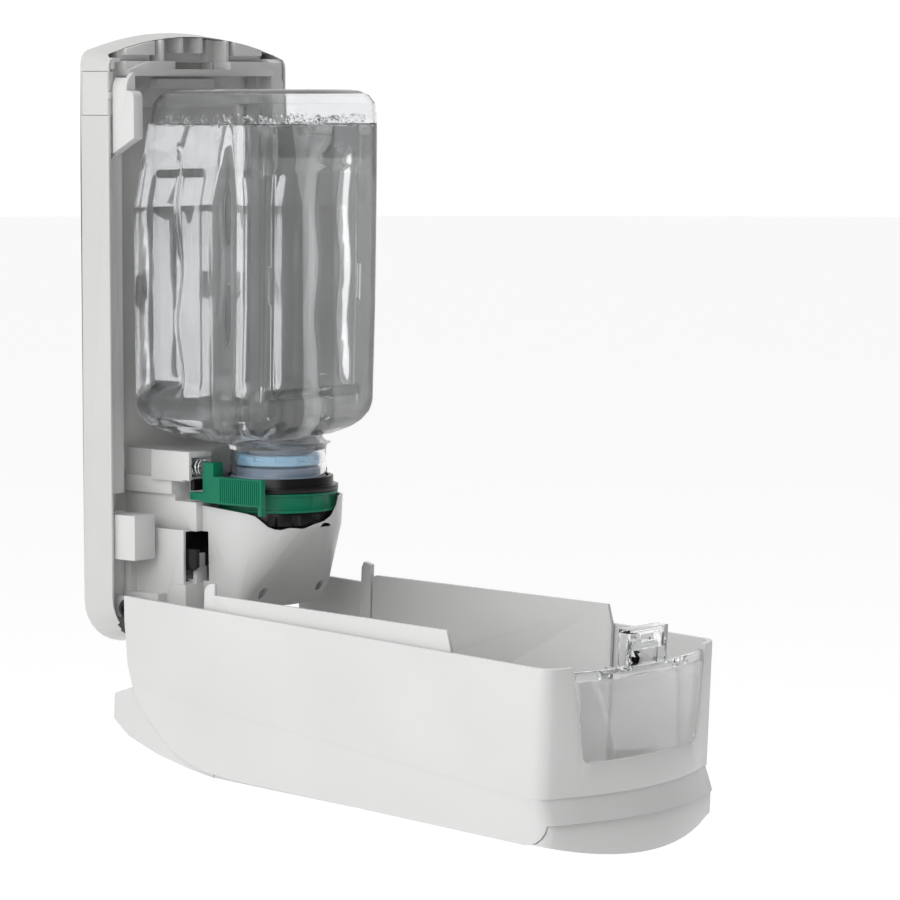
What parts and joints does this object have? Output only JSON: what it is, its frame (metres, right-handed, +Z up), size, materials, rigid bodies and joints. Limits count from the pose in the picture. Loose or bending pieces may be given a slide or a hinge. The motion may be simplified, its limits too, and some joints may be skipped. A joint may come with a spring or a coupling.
{
  "type": "wall mounted soap dispenser",
  "caption": "Wall-mounted foam soap dispenser with a bottom-hinged front cover, push bar, locking collar and a clear refill bottle, standing open for a refill.",
  "frame": {"origin": "centre of the four wall-screw holes, on the back face of the wall plate", "axes": "+X is right for a person facing the dispenser, +Y points into the wall, +Z is up"},
  "size_m": [0.1312, 0.2976, 0.3731],
  "materials": {
    "white_plastic": "satin moulded, fine grain",
    "plate_plastic": "fine matte grain",
    "green_plastic": "semi-gloss",
    "black_plastic": "semi-gloss black",
    "clear_plastic": "clear moulded, slightly frosted",
    "bottle_plastic": "clear blown, wavy",
    "soap_liquid": "clear water-like soap",
    "spring_steel": "bright drawn wire",
    "closure_blue": "grey-blue moulded",
    "pump_plastic": "natural translucent"
  },
  "bodies": {
    "root": {"back_plate": "plate_plastic", "chassis": "white_plastic", "latch_insert": "plate_plastic", "pump_housing": "white_plastic", "housing_screws": "spring_steel", "nozzle_shroud": "white_plastic", "collar_cup": "black_plastic", "neck_collar": "black_plastic", "lock_spring": "spring_steel", "guide_posts": "plate_plastic", "return_springs": "spring_steel", "hinge_pins": "spring_steel", "hinge_bushes": "black_plastic", "button_spring": "spring_steel"},
    "cover": {"cover_shell": "white_plastic", "cover_liner": "white_plastic", "front_panel": "white_plastic", "window_lens": "clear_plastic", "latch_hook": "clear_plastic", "bar_pivot_pins": "spring_steel", "bar_springs": "spring_steel"},
    "push_bar": {"push_bar": "white_plastic", "push_fins": "black_plastic"},
    "lock_ring": {"lock_ring": "green_plastic"},
    "carriage": {"carriage": "black_plastic"},
    "refill": {"bottle": "bottle_plastic", "liquid": "soap_liquid", "pump_closure": "closure_blue", "pump_body": "pump_plastic", "pump_spring": "spring_steel"},
    "pump_nozzle": {"pump_nozzle": "pump_plastic"},
    "release_button": {"release_button": "plate_plastic"}
  },
  "joints": [
    {"name": "cover_hinge", "type": "hinge", "parent": "root", "child": "cover", "pos_m": [0, -0.0254, -0.1548], "axis": [-1, 0, 0], "range_deg": [0, 92.85]},
    {"name": "push_bar_pivot", "type": "hinge", "parent": "cover", "child": "push_bar", "pos_m": [0, -0.07709, -0.21855], "axis": [1, 0, 0], "range_deg": [0, 8.5], "stiffness_Nm_per_rad": 1.5, "springref_deg": -5.73},
    {"name": "lock_ring_turn", "type": "hinge", "parent": "root", "child": "lock_ring", "pos_m": [0, -0.0687, -0.103], "axis": [0, 0, -1], "range_deg": [0, 10], "stiffness_Nm_per_rad": 0.5, "springref_deg": -5.73, "deforming": ["lock_spring"]},
    {"name": "carriage_slide", "type": "slide", "parent": "root", "child": "carriage", "axis": [0, 0, 1], "range_m": [0, 0.0061], "deforming": ["return_springs"]},
    {"name": "refill_lift", "type": "slide", "parent": "root", "child": "refill", "axis": [0, 0, -1], "range_m": [-0.04, 0]},
    {"name": "nozzle_slide", "type": "slide", "parent": "refill", "child": "pump_nozzle", "axis": [0, 0, 1], "range_m": [0, 0.0061], "deforming": ["pump_spring"]},
    {"name": "release_button_press", "type": "slide", "parent": "root", "child": "release_button", "axis": [1, 0, 0], "range_m": [0, 0.0012], "stiffness_N_per_m": 800, "springref_m": -0.002, "deforming": ["button_spring"]}
  ],
  "couplings": [
    {"joint": "carriage_slide", "follows": "push_bar_pivot", "m_per_rad": 0.0405},
    {"joint": "nozzle_slide", "follows": "push_bar_pivot", "m_per_rad": 0.0405}
  ]
}
